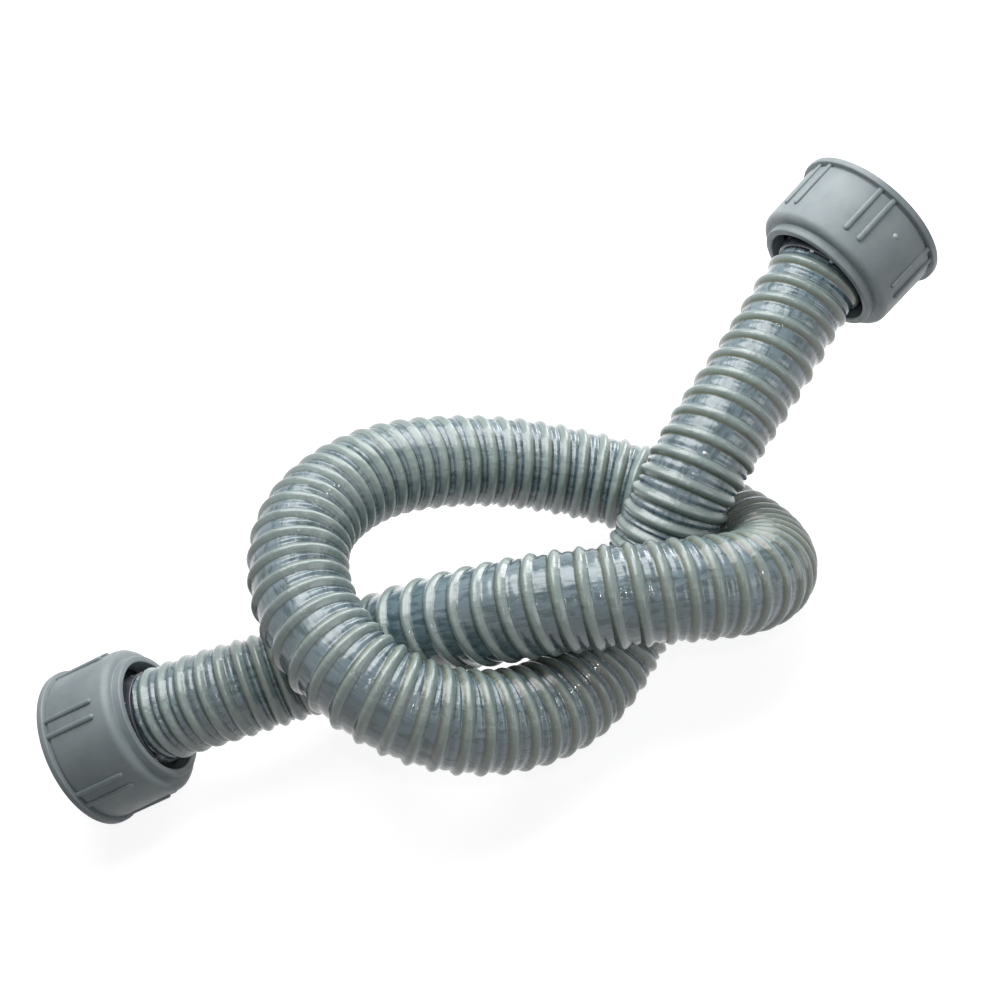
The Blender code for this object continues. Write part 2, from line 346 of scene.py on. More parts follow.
def grow(source, tree, values, name):
    # runs the tree on an object and gives back a plain mesh object
    modifier = source.modifiers.new(tree.name, "NODES")
    modifier.node_group = tree
    for socket in tree.interface.items_tree:
        if socket.in_out == "INPUT" and socket.name in values:
            modifier[socket.identifier] = values[socket.name]
    evaluated = source.evaluated_get(bpy.context.evaluated_depsgraph_get())
    mesh = bpy.data.meshes.new_from_object(evaluated)
    source.modifiers.remove(modifier)
    bpy.data.objects.remove(source, do_unlink=True)
    return newPiece(name, mesh)


def newPiece(name, mesh):
    mesh.name = name
    piece = bpy.data.objects.new(name, mesh)
    bpy.context.scene.collection.objects.link(piece)
    return piece


def pieceOf(name, mesh):
    data = bpy.data.meshes.new(name)
    mesh.to_mesh(data)
    mesh.free()
    return newPiece(name, data)


def smooth(piece, degrees):
    piece.data.shade_smooth()
    piece.data.set_sharp_from_angle(angle=math.radians(degrees))


# materials

def emptyMaterial(name):
    material = bpy.data.materials.new(name)
    material.use_nodes = True
    material.node_tree.nodes.clear()
    return material, material.node_tree


def newMaterial(name):
    material, tree = emptyMaterial(name)
    shader = addNode(tree, "ShaderNodeBsdfPrincipled")
    addNode(tree, "ShaderNodeOutputMaterial", None, {"Surface": shader})
    return material, tree, shader.node


def attribute(tree, name, result="Fac"):
    return addNode(tree, "ShaderNodeAttribute", {"attribute_name": name}, None, result)


def ownPlace(tree):
    return addNode(tree, "ShaderNodeTexCoord", None, None, "Object")


def noise(vector, scale, detail=3.0, roughness=0.5, stretch=None):
    # a factor of stretch below 1 draws the pattern out that way
    if stretch:
        vector = vectorMaths("MULTIPLY", vector, stretch)
    return addNode(vector.tree, "ShaderNodeTexNoise", {"noise_dimensions": "3D"},
                   {"Vector": vector, "Scale": scale, "Detail": detail, "Roughness": roughness}, "Fac")


def ramp(value, low, high):
    # 0 below low, 1 above high, and smooth between
    return addNode(value.tree, "ShaderNodeMapRange", {"interpolation_type": "SMOOTHSTEP"},
                   {"Value": value, "From Min": low, "From Max": high})


def bump(height, distance, strength, normal=None):
    sockets = {"Height": height, "Distance": distance, "Strength": strength}
    if normal is not None:
        sockets["Normal"] = normal
    return addNode(height.tree, "ShaderNodeBump", None, sockets)


def hosePvc():
    material, tree, shader = newMaterial("hosePvc")
    look = {
        "wall": (0.165, 0.232, 0.262, 1.0),
        "wallDeep": (0.110, 0.166, 0.190, 1.0),
        "wallStreak": (0.045, 0.088, 0.100, 1.0),
        "bead": (0.204, 0.262, 0.252, 1.0),
        "beadFoot": (0.108, 0.122, 0.066, 1.0),
        # painted shade in the crease beside each bead's foot
        "creaseShade": (0.040, 0.060, 0.062, 1.0),
        # painted shade: the bore inside the hose is painted near black
        "bore": (0.060, 0.070, 0.075, 1.0),
        "cloud": {"scale": 70.0, "detail": 4.0},
        "blots": {"scale": 420.0, "detail": 3.0, "roughness": 0.6, "stretch": (1.0, 1.0, 0.30)},
        "waves": {"scale": 230.0, "detail": 2.0, "stretch": (1.0, 1.0, 0.35)},
        "streaks": {"scale": 900.0, "detail": 4.0, "roughness": 0.6, "stretch": (1.0, 1.0, 0.12)},
        "cloudRange": (0.35, 0.7),
        "blotRange": (0.47, 0.62),
        "blotShare": 0.85,
        "footRange": (0.42, 0.85),
        "beadRange": (0.02, 0.25),
        "creaseShadeStart": (0.0, 0.06),
        "creaseShadeEnd": (0.10, 0.32),
        "creaseShadeShare": 0.6,
        "waveBump": (0.0009, 0.7),
        "streakBump": (0.00022, 0.8),
        "roughness": 0.14,
        "beadRoughness": 0.16,
        "roughRange": (0.1, 0.5),
    }
    # places as on a straight hose, so that the patterns follow its bends
    straight = attribute(tree, "straight", "Vector")
    height = attribute(tree, "bead")
    cloud = ramp(noise(straight, **look["cloud"]), *look["cloudRange"])
    wall = mixColour(cloud, look["wallDeep"], look["wall"])
    blots = ramp(noise(straight, **look["blots"]), *look["blotRange"])
    wall = mixColour(blots * look["blotShare"], wall, look["wallStreak"])
    bead = mixColour(ramp(attribute(tree, "foot"), *look["footRange"]), look["bead"], look["beadFoot"])
    colour = mixColour(ramp(height, *look["beadRange"]), wall, bead)
    # painted shade: the wall is darkened in the crease at each bead's foot, where shade falls
    creaseShade = ramp(height, *look["creaseShadeStart"]) * (1 - ramp(height, *look["creaseShadeEnd"]))
    colour = mixColour(creaseShade * look["creaseShadeShare"], colour, look["creaseShade"])
    # painted shade: the inside of the hose takes the near-black bore colour
    colour = mixColour(attribute(tree, "inside"), colour, look["bore"])
    relief = bump(noise(straight, **look["waves"]), *look["waveBump"])
    relief = bump(noise(straight, **look["streaks"]), *look["streakBump"], relief)
    feed(tree, shader, {
        "Base Color": colour,
        "Roughness": look["roughness"] + look["beadRoughness"] * ramp(height, *look["roughRange"]),
        "IOR": 1.53,
        "Coat Weight": 0.5,
        "Coat Roughness": 0.08,
        "Normal": relief,
    })
    return material


def nutPlastic():
    material, tree, shader = newMaterial("nutPlastic")
    look = {
        "light": (0.255, 0.293, 0.306, 1.0),
        "dark": (0.200, 0.236, 0.250, 1.0),
        "cloud": {"scale": 55.0, "detail": 5.0, "roughness": 0.6},
        "grain": {"scale": 2600.0, "detail": 2.0},
        "scuffs": {"scale": 420.0, "detail": 5.0, "roughness": 0.65, "stretch": (1.0, 1.0, 0.2)},
        "cloudRange": (0.3, 0.7),
        "scuffRange": (0.35, 0.75),
        "roughness": 0.40,
        "scuffRoughness": 0.16,
        "grainBump": (0.00008, 0.6),
        "cloudBump": (0.0006, 0.25),
    }
    place = ownPlace(tree)
    cloud = noise(place, **look["cloud"])
    scuffs = ramp(noise(place, **look["scuffs"]), *look["scuffRange"])
    relief = bump(noise(place, **look["grain"]), *look["grainBump"])
    feed(tree, shader, {
        "Base Color": mixColour(ramp(cloud, *look["cloudRange"]), look["dark"], look["light"]),
        "Roughness": look["roughness"] + look["scuffRoughness"] * scuffs,
        "IOR": 1.40,
        "Normal": bump(cloud, *look["cloudBump"], relief),
    })
    return material


def gateGlintPlastic():
    # the nut's plastic where it broke off the mould's gate: stress-whitened, and lightened further as a
    # painted glint
    material, tree, shader = newMaterial("gateGlintPlastic")
    look = {
        "light": (0.62, 0.65, 0.66, 1.0),
        "dark": (0.36, 0.39, 0.40, 1.0),
        "cloud": {"scale": 1500.0, "detail": 3.0},
        "cloudRange": (0.35, 0.65),
        "cloudBump": (0.0001, 0.5),
    }
    cloud = noise(ownPlace(tree), **look["cloud"])
    feed(tree, shader, {
        "Base Color": mixColour(ramp(cloud, *look["cloudRange"]), look["dark"], look["light"]),
        "Roughness": 0.25,
        "Normal": bump(cloud, *look["cloudBump"]),
    })
    return material


def tailPvc():
    material, tree, shader = newMaterial("tailPvc")
    look = {
        "light": (0.085, 0.092, 0.108, 1.0),
        "dark": (0.050, 0.055, 0.066, 1.0),
        "cloud": {"scale": 180.0, "detail": 4.0},
        "cloudRange": (0.3, 0.7),
        "roughness": 0.22,
        "cloudRoughness": 0.12,
        "roughRange": (0.4, 0.7),
        "cloudBump": (0.0002, 0.4),
    }
    cloud = noise(ownPlace(tree), **look["cloud"])
    feed(tree, shader, {
        "Base Color": mixColour(ramp(cloud, *look["cloudRange"]), look["dark"], look["light"]),
        "Roughness": look["roughness"] + look["cloudRoughness"] * ramp(cloud, *look["roughRange"]),
        "IOR": 1.53,
        "Normal": bump(cloud, *look["cloudBump"]),
    })
    return material


def glueFlecks():
    material, tree, shader = newMaterial("glueFlecks")
    look = {
        "light": (0.80, 0.80, 0.78, 1.0),
        "dark": (0.55, 0.56, 0.56, 1.0),
        "cloud": {"scale": 900.0},
    }
    feed(tree, shader, {
        "Base Color": mixColour(noise(ownPlace(tree), **look["cloud"]), look["dark"], look["light"]),
        "Roughness": 0.35,
    })
    return material


def washerRubber():
    material, tree, shader = newMaterial("washerRubber")
    look = {
        "light": (0.030, 0.030, 0.031, 1.0),
        "dark": (0.012, 0.012, 0.012, 1.0),
        "grain": {"scale": 1800.0, "detail": 3.0},
        "roughness": 0.58,
        "grainRoughness": 0.2,
        "grainBump": (0.0001, 0.5),
    }
    grain = noise(ownPlace(tree), **look["grain"])
    feed(tree, shader, {
        "Base Color": mixColour(grain, look["dark"], look["light"]),
        "Roughness": look["roughness"] + look["grainRoughness"] * grain,
        "Normal": bump(grain, *look["grainBump"]),
    })
    return material


materials = {
    "hose": hosePvc(),
    "nut": nutPlastic(),
    "gate": gateGlintPlastic(),
    "tail": tailPvc(),
    "glue": glueFlecks(),
    "washer": washerRubber(),
}
print("materials made")


# hose

def smoothRoute(points, steps):
    # a clamped cubic spline through the points
    points = np.array(points)
    spans = np.linalg.norm(np.diff(points, axis=0), axis=1)
    count = len(points)
    system, right = np.zeros((count, count)), np.zeros((count, 3))
    system[0, 0] = system[-1, -1] = 1.0
    right[0] = (points[1] - points[0]) / spans[0]
    right[-1] = (points[-1] - points[-2]) / spans[-1]
    for i in range(1, count - 1):
        before, after = spans[i - 1], spans[i]
        system[i, i - 1:i + 2] = after, 2 * (before + after), before
        right[i] = 3 * (before * (points[i + 1] - points[i]) / after
                        + after * (points[i] - points[i - 1]) / before)
    slopes = np.linalg.solve(system, right)
    line = [points[0]]
    for i, span in enumerate(spans):
        for step in range(1, steps + 1):
            t = step / steps
            line.append((1 + 2 * t) * (1 - t) ** 2 * points[i] + t * (1 - t) ** 2 * span * slopes[i]
                        + t * t * (3 - 2 * t) * points[i + 1] - t * t * (1 - t) * span * slopes[i + 1])
    return np.array(line)


def hoseLine(points):
    # the centreline as a string of points at equal steps of the bead's turn, each carrying its
    # distance along the hose, the pitch, its direction, a side that never twists, and the bend
    stations = np.concatenate([[0.0], np.cumsum(np.linalg.norm(np.diff(points, axis=0), axis=1))])
    tangents = np.gradient(points, stations, axis=0)
    tangents /= np.linalg.norm(tangents, axis=1)[:, None]
    side = np.cross(tangents[0], (0.0, 0.0, 1.0))
    sides = []
    for tangent in tangents:
        side = side - side.dot(tangent) * tangent
        side = side / np.linalg.norm(side)
        sides.append(side)
    sides, bends = np.array(sides), np.gradient(tangents, stations, axis=0)

    pitches = np.interp(stations / mm, *zip(*hose["pitches"])) * mm
    turns = np.cumsum(np.diff(stations, prepend=0.0) / pitches) + hose["beadStart"]
    count = int((turns[-1] - turns[0]) * hose["turnSteps"]) + 2
    marks = np.interp(np.linspace(turns[0], turns[-1], count), turns, stations)

    def along(values):
        return np.stack([np.interp(marks, stations, values[:, k]) for k in range(3)], axis=1)

    mesh = bpy.data.meshes.new("hoseLine")
    mesh.from_pydata([tuple(p) for p in along(points)], [], [])
    for name, values in (("side", along(sides)), ("bend", along(bends)), ("tangent", along(tangents))):
        mesh.attributes.new(name, "FLOAT_VECTOR", "POINT").data.foreach_set("vector", values.ravel())
    for name, values in (("station", marks), ("pitch", np.interp(marks, stations, pitches))):
        mesh.attributes.new(name, "FLOAT", "POINT").data.foreach_set("value", values)
    return newPiece("hoseLine", mesh), turns[0], turns[-1], count, tangents


class LineSampler:
    # reads the centreline's attributes at a number of turns of the bead
    def __init__(self, tree, line, turn, first, last, count):
        self.tree, self.line = tree, line
        place = (turn.least(first).most(last) - first) / (last - first) * (count - 1)
        # kept just short of the last point, so that there is always a next one
        place = place.most(count - 1.001)
        self.low = place.floor()
        self.share = place - self.low

    def read(self, name, kind="FLOAT_VECTOR"):
        if name == "position":
            value = addNode(self.tree, "GeometryNodeInputPosition")
        else:
            value = addNode(self.tree, "GeometryNodeInputNamedAttribute", {"data_type": kind},
                            {"Name": name})
        near, far = (addNode(self.tree, "GeometryNodeSampleIndex", {"data_type": kind, "domain": "POINT"},
                             {"Geometry": self.line, "Value": value, "Index": index})
                     for index in (self.low, self.low + 1))
        if kind == "FLOAT":
            return near + (far - near) * self.share
        return vectorMaths("ADD", near, scaled(vectorMaths("SUBTRACT", far, near), self.share))

    def radial(self, angle):
        side, tangent = self.read("side"), self.read("tangent")
        up = vectorMaths("CROSS_PRODUCT", tangent, side)
        return vectorMaths("ADD", scaled(side, angle.cos()), scaled(up, angle.sin()))


def wrapped(grid, line, angle, radius, rise, foot, inside):
    # lays a grid's points round the centreline, and stores for the material where each would be on
    # a straight hose, how high it is on the bead, how near the bead's foot, and whether it is inside
    tree = line.tree
    straight = aboutZ(radius, angle, line.read("station", "FLOAT"))
    place = vectorMaths("ADD", line.read("position"), scaled(line.radial(angle), radius))
    for name, kind, value in (("straight", "FLOAT_VECTOR", straight), ("bead", "FLOAT", rise),
                              ("foot", "FLOAT", foot), ("inside", "FLOAT", inside)):
        grid = addNode(tree, "GeometryNodeStoreNamedAttribute", {"data_type": kind, "domain": "POINT"},
                       {"Geometry": grid, "Name": name, "Value": value})
    return addNode(tree, "GeometryNodeSetPosition", None, {"Geometry": grid, "Position": place})


def hoseTree(material):
    tree, given = newTree("helicalHose", (
        "Bore", "Wall", "Bead Height", "Bead Width", "Roundness", "Packed", "Flat Pitch", "Tight Pitch",
        "Bulge", "First Turn", "Last Turn",
    ), ("Samples", "Sides", "Bead Steps", "Valley Steps", "Bore Rings"))
    index = addNode(tree, "GeometryNodeInputIndex")
    sides, first, last, samples = (given.at(n) for n in ("Sides", "First Turn", "Last Turn", "Samples"))
    beadSteps, valleySteps = given.at("Bead Steps"), given.at("Valley Steps")
    perTurn = beadSteps + valleySteps
    turns = (last - first).floor() + hose["spareTurns"]
    boreRadius = given.at("Bore") * 0.5
    valleyRadius = boreRadius + given.at("Wall")

    # the outer skin: columns of points that climb one pitch in each turn round the hose
    across = sides + 1
    skin = addNode(tree, "GeometryNodeMeshGrid", None,
                   {"Vertices X": perTurn * turns + 1, "Vertices Y": across})
    row, column = (index / across).floor(), index % across
    angle = column / sides * math.tau
    step = row % perTurn
    middle = (row / perTurn).floor() - 1 + column / sides
    line = LineSampler(tree, given, middle, first, last, samples)
    pitch = line.read("pitch", "FLOAT")
    # a bead keeps its width, so it fills more of the pitch inside a bend, and less outside
    inward = vectorMaths("DOT_PRODUCT", line.radial(angle), line.read("bend"), "Value")
    squeeze = 1 - inward * valleyRadius
    half = (given.at("Bead Width") * 0.5 / squeeze / pitch).most(given.at("Packed") * 0.5)
    onBead = step < beadSteps + 0.5
    beadShare = step / beadSteps
    valleyShare = (step - beadSteps) / valleySteps
    turn = middle + onBead.pick(half * (beadShare * 2 - 1), half + (1 - half * 2) * valleyShare)
    clipped = turn.least(first).most(last)
    onHose = 1 - ((clipped - turn).size() > hose["slip"])
    rise = onBead * (beadShare * math.pi).sin().least(0.0) ** given.at("Roundness") * onHose
    # where the beads close up, the slack wall between them stands out in a low ridge
    local = pitch * squeeze
    slack = (given.at("Flat Pitch") - local) / (given.at("Flat Pitch") - given.at("Tight Pitch"))
    bulge = given.at("Bulge") * slack.least(0.0).most(1.0)
    bulge = bulge.most(local * (1 - half * 2) * hose["bulgeShare"])
    ridge = (valleyShare * math.pi).sin().least(0.0) ** hose["bulgeRoundness"]
    radius = valleyRadius + given.at("Bead Height") * rise + bulge * ((1 - onBead) * ridge * onHose)
    foot = onBead * (1 - beadShare * hose["footFade"]).least(0.0)
    line = LineSampler(tree, given, clipped, first, last, samples)
    skin = wrapped(skin, line, angle, radius, rise, foot, 0.0)

    # the bore, with the hose's cut end at each end of it
    rings = given.at("Bore Rings")
    bore = addNode(tree, "GeometryNodeMeshGrid", None, {"Vertices X": rings + 3, "Vertices Y": across})
    ring = (index / across).floor() - 1
    shown = ring.least(0.0).most(rings)
    radius = boreRadius + given.at("Wall") * ((ring - shown).size() > 0.5)
    line = LineSampler(tree, given, first + (last - first) * (shown / rings), first, last, samples)
    bore = wrapped(bore, line, angle, radius, 0.0, 0.0, 1.0)
    bore = addNode(tree, "GeometryNodeFlipFaces", None, {"Mesh": bore})

    joined = joinedParts(tree, (skin, bore))
    welded = addNode(tree, "GeometryNodeMergeByDistance", None,
                     {"Geometry": joined, "Distance": hose["weld"]})
    finishTree(tree, welded, material)
    return tree


def makeHose():
    route = smoothRoute(np.array(hose["route"]) + hose["shift"], hose["spanSteps"])
    line, first, last, samples, tangents = hoseLine(route)
    piece = grow(line, hoseTree(materials["hose"]), {
        "Bore": hose["bore"], "Wall": hose["wall"], "Bead Height": hose["beadHeight"],
        "Bead Width": hose["beadWidth"], "Roundness": hose["beadRoundness"], "Packed": hose["packed"],
        "Flat Pitch": hose["flatPitch"], "Tight Pitch": hose["tightPitch"], "Bulge": hose["bulge"],
        "First Turn": first, "Last Turn": last, "Samples": samples,
        "Sides": hose["sides"], "Bead Steps": hose["beadSteps"], "Valley Steps": hose["valleySteps"],
        "Bore Rings": hose["boreRings"]}, "hoseTube")
    tidyMesh(piece)
    smooth(piece, hose["sharpAngle"])
    return piece, route, tangents


def tidyMesh(piece):
    # drops faces that closed up to nothing at the ends, and turns the rest outwards
    mesh = bmesh.new()
    mesh.from_mesh(piece.data)
    bmesh.ops.dissolve_degenerate(mesh, edges=mesh.edges, dist=hose["closedUp"])
    bmesh.ops.recalc_face_normals(mesh, faces=mesh.faces)
    openEdges = sum(1 for edge in mesh.edges if len(edge.link_faces) != 2)
    mesh.to_mesh(piece.data)
    mesh.free()
    print(piece.name, len(piece.data.polygons), "faces,", openEdges, "open edges")


# turned pieces

def filleted(section):
    # a closed section of (radius, height, fillet), with each fillet as a short arc
    outline = []
    for i, (radius, height, fillet) in enumerate(section):
        here = Vector((radius, height))
        if not fillet:
            outline.append(here)
            continue
        before = (Vector(section[i - 1][:2]) - here).normalized()
        after = (Vector(section[(i + 1) % len(section)][:2]) - here).normalized()
        half = before.angle(after) / 2
        reach = fillet / math.tan(half)
        middle = here + (before + after).normalized() * fillet / math.sin(half)
        start, end = here + before * reach - middle, here + after * reach - middle
        sweep = start.angle_signed(end)
        for step in range(arcSteps + 1):
            outline.append(middle + Matrix.Rotation(-sweep * step / arcSteps, 2) @ start)
    return outline


def turnedMesh(name, section, sides):
    mesh = bmesh.new()
    outline = filleted(section)
    rings = []
    for side in range(sides):
        turn = math.tau * side / sides
        rings.append([mesh.verts.new((p.x * math.cos(turn), p.x * math.sin(turn), p.y)) for p in outline])
    for near, far in zip(rings, rings[1:] + rings[:1]):
        for i in range(len(outline)):
            after = (i + 1) % len(outline)
            mesh.faces.new((near[i], far[i], far[after], near[after]))
    bmesh.ops.recalc_face_normals(mesh, faces=mesh.faces)
    return pieceOf(name, mesh)


def settle(piece, place):
    # puts the piece's place into its mesh
    piece.data.transform(place)
    piece.data.update()


def axisPlace(origin, direction):
    # local Z along the direction, and local X as near to straight up as it goes
    z = Vector(direction).normalized()
    x = (Vector((0, 0, 1)) - z * z.z).normalized()
    y = z.cross(x)
    turn = Matrix((x, y, z)).transposed().to_4x4()
    return Matrix.Translation(origin) @ turn


def unionPlace(name):
    # at the joint of the nut, with local Z from its mouth to its rear opening
    joint = next(j for j in frame["joints"] if j["name"] == f"nut_{name}_spin")
    return axisPlace(joint["pos_m"], -Vector(joint["axis"]))


# nuts

def nutTree(material):
    tree, given = newTree("unionNut", (
        "Spacing", "Rib Width", "Rib Height", "Rib Start", "Rib End", "Body", "Pair Angle", "Thread",
        "Thread Pitch", "Thread Depth", "Thread Start", "Thread Turns"), ("Pairs",))
    index = addNode(tree, "GeometryNodeInputIndex")
    surface = given.at("Body") * 0.5

    # a grip rib: a bar with rounded ends, half sunk in the body, in pairs round it
    radius = given.at("Rib Width") * 0.5
    start, end = given.at("Rib Start"), given.at("Rib End")
    bar = addNode(tree, "GeometryNodeCurvePrimitiveLine", None,
                  {"Start": vectorOf(tree, 0.0, 0.0, start), "End": vectorOf(tree, 0.0, 0.0, end)})
    bar = addNode(tree, "GeometryNodeResampleCurve", None, {"Curve": bar, "Count": nut["gripSteps"]})
    position = addNode(tree, "GeometryNodeInputPosition")
    height = addNode(tree, "ShaderNodeSeparateXYZ", None, {0: position}, 2)
    fromEnd = (end - height) / radius
    roundEnd = (1 - (1 - fromEnd.most(1.0)) ** 2.0).least(nut["gripTip"] ** 2) ** 0.5
    shape = addNode(tree, "GeometryNodeCurvePrimitiveCircle", None,
                    {"Resolution": nut["gripSides"], "Radius": radius})
    rib = addNode(tree, "GeometryNodeCurveToMesh", None,
                  {"Curve": bar, "Profile Curve": shape, "Scale": roundEnd, "Fill Caps": True})
    rib = addNode(tree, "GeometryNodeTransform", None, {
        "Geometry": rib, "Scale": vectorOf(tree, given.at("Rib Height") / radius, 1.0, 1.0)})
    marks = addNode(tree, "GeometryNodeMeshLine", None, {"Count": given.at("Pairs") * 2})
    turn = ((index / 2).floor() / given.at("Pairs") * math.tau + given.at("Pair Angle")
            + (index % 2 - 0.5) * given.at("Spacing") / surface)
    marks = addNode(tree, "GeometryNodeSetPosition", None,
                    {"Geometry": marks, "Position": aboutZ(surface, turn, 0.0)})
    ribs = addNode(tree, "GeometryNodeInstanceOnPoints", None,
                   {"Points": marks, "Instance": rib, "Rotation": turnedAboutZ(turn)})

    # the internal thread: a ridge swept along a helix on the wall of the socket
    root, turns = given.at("Thread") * 0.5, given.at("Thread Turns")
    helix = addNode(tree, "GeometryNodeCurveSpiral", None, {
        "Resolution": nut["threadSteps"], "Rotations": turns, "Start Radius": root, "End Radius": root,
        "Height": turns * given.at("Thread Pitch")})
    helix = addNode(tree, "GeometryNodeSetCurveNormal", {"mode": "Z_UP"}, {"Curve": helix})
    share = addNode(tree, "GeometryNodeSplineParameter", None, None, "Factor")
    fromEnd = (0.5 - (share - 0.5).size()) * turns
    runOut = (fromEnd * nut["threadEntry"]).most(1.0).least(nut["threadTip"])
    flat = given.at("Thread Pitch") * 0.5
    ridge = addNode(tree, "GeometryNodeCurvePrimitiveQuadrilateral", {"mode": "TRAPEZOID"}, {
        "Height": given.at("Thread Depth") * 2, "Bottom Width": flat * nut["threadRoot"],
        "Top Width": flat * nut["threadCrest"], "Offset": 0.0})
    # its top is turned towards the nut's axis
    ridge = addNode(tree, "GeometryNodeTransform", None,
                    {"Geometry": ridge, "Rotation": (0.0, 0.0, -math.pi / 2)})
    thread = addNode(tree, "GeometryNodeCurveToMesh", None,
                     {"Curve": helix, "Profile Curve": ridge, "Scale": runOut, "Fill Caps": True})
    thread = addNode(tree, "GeometryNodeTransform", None, {
        "Geometry": thread, "Translation": vectorOf(tree, 0.0, 0.0, given.at("Thread Start"))})

    finishTree(tree, joinedParts(tree, (given, ribs, thread)), material)
    return tree


def nutSection():
    bodyEnd = nut["length"] - nut["ringHeight"]
    thread, lip, body, ring, opening = (nut[k] / 2 for k in ("thread", "lip", "body", "ring", "opening"))
    # each corner's radius, height and rounding, from the mouth's edge round to its chamfer
    return [
        (thread + nut["mouthChamfer"], 0.0, nut["edgeRound"]),
        (lip, 0.0, nut["lipRound"]),
        (lip, nut["lipThickness"], nut["lipBackRound"]),
        (body - nut["grooveDepth"], nut["lipThickness"], nut["grooveRound"]),
        (body, nut["lipThickness"] + nut["grooveHeight"], nut["footRound"]),
        (body - nut["taper"] / 2, bodyEnd, nut["rearRound"]),
        (ring, bodyEnd - nut["ringStep"], nut["footRound"]),
        (ring, nut["length"], nut["ringRound"]),
        (opening, nut["length"], nut["ringRound"]),
        (opening, nut["socketDepth"], nut["innerRound"]),
        (thread, nut["socketDepth"], nut["innerRound"]),
        (thread, nut["mouthChamfer"], nut["edgeRound"]),
    ]


def gateNub(name):
    # the little broken stub where the plastic was let into the mould
    mesh = bmesh.new()
    bmesh.ops.create_icosphere(mesh, subdivisions=3, radius=nut["gateRadius"])
    for vert in mesh.verts:
        vert.co.x *= nut["gateFlatness"]
    turn = Matrix.Rotation(math.radians(nut["gate"][name]), 4, "Z")
    out = Matrix.Translation((nut["body"] / 2 - nut["gateSink"], 0, nut["gateHeight"]))
    mesh.transform(turn @ out)
    nub = pieceOf(f"gateNub_{name}", mesh)
    # the nub's light material is partly stress-whitening and partly a painted glint
    nub.data.materials.append(materials["gate"])
    return nub


def makeNut(name, tree):
    body = turnedMesh(f"nutBody_{name}", nutSection(), nut["sides"])
    piece = grow(body, tree, {
        "Pairs": nut["gripPairs"], "Spacing": nut["gripSpacing"], "Rib Width": nut["gripWidth"],
        "Rib Height": nut["gripHeight"], "Rib Start": nut["lipThickness"] - nut["gripSink"],
        "Rib End": nut["gripEnd"], "Body": nut["body"], "Pair Angle": math.radians(nut["pairAngle"][name]),
        "Thread": nut["thread"], "Thread Pitch": nut["threadPitch"], "Thread Depth": nut["threadDepth"],
        "Thread Start": nut["threadStart"], "Thread Turns": nut["threadTurns"]}, f"unionNut_{name}")
    nub = gateNub(name)
    for made in (piece, nub):
        settle(made, unionPlace(name))
        smooth(made, nut["sharpAngle"])
    return piece, nub


# tails and washers

def tailSection():
    face = tail["neckLength"] + tail["flangeThickness"]
    bore, neck, flange, spigot = (tail[k] / 2 for k in ("bore", "neck", "flange", "spigot"))
    return [
        (bore, -tail["spigotLength"], tail["endRound"]),
        (bore, face, tail["mouthRound"]),
        (flange, face, tail["flangeRound"]),
        (flange, tail["neckLength"], tail["flangeRound"]),
        (neck, tail["neckLength"], tail["neckRound"]),
        (neck, tail["gap"], tail["endRound"]),
        (spigot, tail["gap"], 0.0),
        (spigot, -tail["spigotLength"], tail["endRound"]),
    ]


def speckTree(material):
    # flecks of dried glue along the neck, beside the hose's end
    tree, given = newTree("glueSpecks", ("Neck", "Height", "Size"), ("Count", "Seed"))

    def scatter(low, high, offset):
        return addNode(tree, "FunctionNodeRandomValue", {"data_type": "FLOAT"},
                       {2: low, 3: high, "Seed": given.at("Seed") + offset}, 1)

    turn = scatter(0.0, math.tau, 1)
    height = given.at("Height") * scatter(0.0, 1.0, 2) ** specks["crowding"]
    size = given.at("Size") * scatter(*specks["sizes"], 3)
    length = size * scatter(*specks["lengths"], 4)
    marks = addNode(tree, "GeometryNodeMeshLine", None, {"Count": given.at("Count")})
    marks = addNode(tree, "GeometryNodeSetPosition", None,
                    {"Geometry": marks, "Position": aboutZ(given.at("Neck") * 0.5, turn, height)})
    ball = addNode(tree, "GeometryNodeMeshIcoSphere", None, {"Radius": 1.0, "Subdivisions": 2})
    flecks = addNode(tree, "GeometryNodeInstanceOnPoints", None, {
        "Points": marks, "Instance": ball, "Rotation": turnedAboutZ(turn),
        "Scale": vectorOf(tree, size * specks["flatness"], length, size)})
    finishTree(tree, flecks, material)
    return tree


def makeTail(name, point, outward, tree):
    place = axisPlace(point, outward)
    piece = turnedMesh(f"flangedTail_{name}", tailSection(), tail["sides"])
    piece.data.materials.append(materials["tail"])
    settle(piece, place)
    smooth(piece, tail["sharpAngle"])
    start = newPiece("speckStart", bpy.data.meshes.new("speckStart"))
    flecks = grow(start, tree, {
        "Neck": tail["neck"], "Height": tail["neckLength"] * specks["reach"], "Count": specks["count"],
        "Size": specks["size"], "Seed": specks["seeds"][name]}, f"glueFlecks_{name}")
    settle(flecks, place)
    smooth(flecks, specks["sharpAngle"])
    return piece, flecks


def makeWasher(name):
    # seated where the frame's own washer is
    place = unionPlace(name)
    solid = frame["nodes"][f"washer_{name}"]
    front = min((place.inverted() @ (solid.matrix_world @ v.co)).z for v in solid.data.vertices)
    back = front + washer["thickness"]
    bore, rim, edge = washer["bore"] / 2, washer["rim"] / 2, washer["round"]
    section = [(bore, front, edge), (rim, front, edge), (rim, back, edge), (bore, back, edge)]
    piece = turnedMesh(f"sealWasher_{name}", section, washer["sides"])
    piece.data.materials.append(materials["washer"])
    settle(piece, place)
    smooth(piece, washer["sharpAngle"])
    return piece


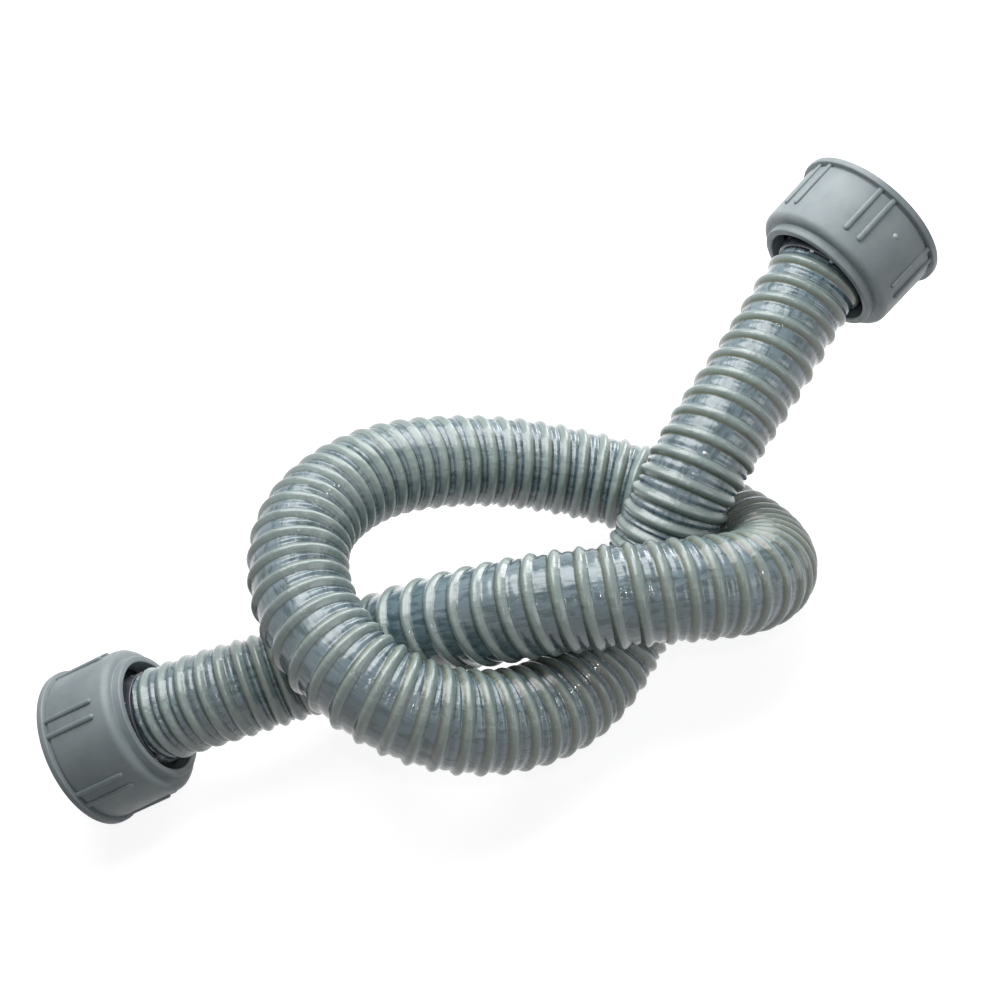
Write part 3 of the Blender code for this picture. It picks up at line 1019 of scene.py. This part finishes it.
hosePiece, route, tangents = makeHose()
print("hose made")
nutNodes = nutTree(materials["nut"])
speckNodes = speckTree(materials["glue"])
for name, point, outward in (("a", route[0], -tangents[0]), ("b", route[-1], tangents[-1])):
    nutPiece, nubPiece = makeNut(name, nutNodes)
    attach(nubPiece, f"union_{name}")
    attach(nutPiece, f"union_{name}")
    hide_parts(f"nut_{name}")
    washerPiece = makeWasher(name)
    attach(washerPiece, f"union_{name}")
    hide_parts(f"washer_{name}")
    tailPiece, flecks = makeTail(name, point, outward, speckNodes)
    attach(tailPiece, "hose_run")
    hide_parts(f"tail_{name}")
    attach(flecks, "hose_run")
    print("end", name, "made")

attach(hosePiece, "hose_run")
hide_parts("hose")


# stage, light and camera

studio = {
    "floorSize": 8.0,
    "floorColour": 0.36,
    "floorGlow": 0.88,
    "floorFade": (0.24, 0.50),      # distances over which the glow rises to full white
    "worldLight": 0.05,
    "softboxes": [
        # name, place, aimed at, size across, size along, watts
        ("overhead", (0.04, 0.15, 0.44), (0.04, 0.10, 0.05), 0.42, 0.40, 2.75),
        ("backRight", (0.43, 0.43, 0.29), (0.03, 0.0, 0.05), 0.30, 0.42, 2.65),
        ("frontRight", (0.46, -0.44, 0.23), (0.05, 0.0, 0.04), 0.34, 0.30, 0.70),
        ("flash", (0.023, -0.325, 0.445), (0.0, 0.0, 0.04), 0.020, 0.020, 0.22),
    ],
}


def whiteForCamera(tree):
    # 1 where the camera sees the surroundings straight, mirrored or through a piece, 0 for their light
    path = addNode(tree, "ShaderNodeLightPath")
    return (path.at("Is Camera Ray") + path.at("Is Glossy Ray") + path.at("Is Transmission Ray")).most(1.0)


def makeFloor():
    half = studio["floorSize"] / 2
    mesh = bpy.data.meshes.new("floor")
    corners = [(-half, -half, 0), (half, -half, 0), (half, half, 0), (-half, half, 0)]
    mesh.from_pydata(corners, [], [(0, 1, 2, 3)])
    floor = newPiece("floor", mesh)
    material, tree = emptyMaterial("floorWhite")
    far = ramp(vectorMaths("LENGTH", ownPlace(tree), result="Value"), *studio["floorFade"])
    lit = addNode(tree, "ShaderNodeBsdfDiffuse", None, {"Color": (*(studio["floorColour"],) * 3, 1.0)})
    glow = addNode(tree, "ShaderNodeEmission", None, {
        "Strength": whiteForCamera(tree) * (studio["floorGlow"] + (1 - studio["floorGlow"]) * far)})
    both = addNode(tree, "ShaderNodeAddShader", None, {0: lit, 1: glow})
    addNode(tree, "ShaderNodeOutputMaterial", None, {"Surface": both})
    mesh.materials.append(material)


def makeWorld():
    world = bpy.data.worlds.new("studio")
    bpy.context.scene.world = world
    world.use_nodes = True
    tree = world.node_tree
    tree.nodes.clear()
    sky = addNode(tree, "ShaderNodeBackground", None, {
        "Color": (1.0, 1.0, 1.0, 1.0), "Strength": whiteForCamera(tree).pick(1.0, studio["worldLight"])})
    addNode(tree, "ShaderNodeOutputWorld", None, {"Surface": sky})


def makeSoftbox(name, place, aim, across, along, watts):
    lamp = bpy.data.lights.new(name, "AREA")
    lamp.shape, lamp.size, lamp.size_y, lamp.energy = "RECTANGLE", across, along, watts
    box = bpy.data.objects.new(name, lamp)
    bpy.context.scene.collection.objects.link(box)
    box.location = place
    box.rotation_euler = (Vector(aim) - Vector(place)).to_track_quat("-Z", "Y").to_euler()


def makeCamera():
    data = bpy.data.cameras.new("camera")
    data.lens, data.sensor_width, data.sensor_fit = cameraView["lens"], cameraView["sensor"], "HORIZONTAL"
    data.clip_start, data.clip_end = cameraView["near"], cameraView["far"]
    eye = bpy.data.objects.new("camera", data)
    bpy.context.scene.collection.objects.link(eye)
    tilt = Matrix.Rotation(math.radians(90 - cameraView["elevation"]), 4, "X")
    roll = Matrix.Rotation(math.radians(cameraView["roll"]), 4, "Z")
    eye.matrix_world = Matrix.Translation(cameraView["place"]) @ tilt @ roll
    bpy.context.scene.camera = eye


makeFloor()
makeWorld()
for softbox in studio["softboxes"]:
    makeSoftbox(*softbox)
makeCamera()
bpy.context.scene.view_settings.view_transform = "Standard"
print("stage, lights and camera set")
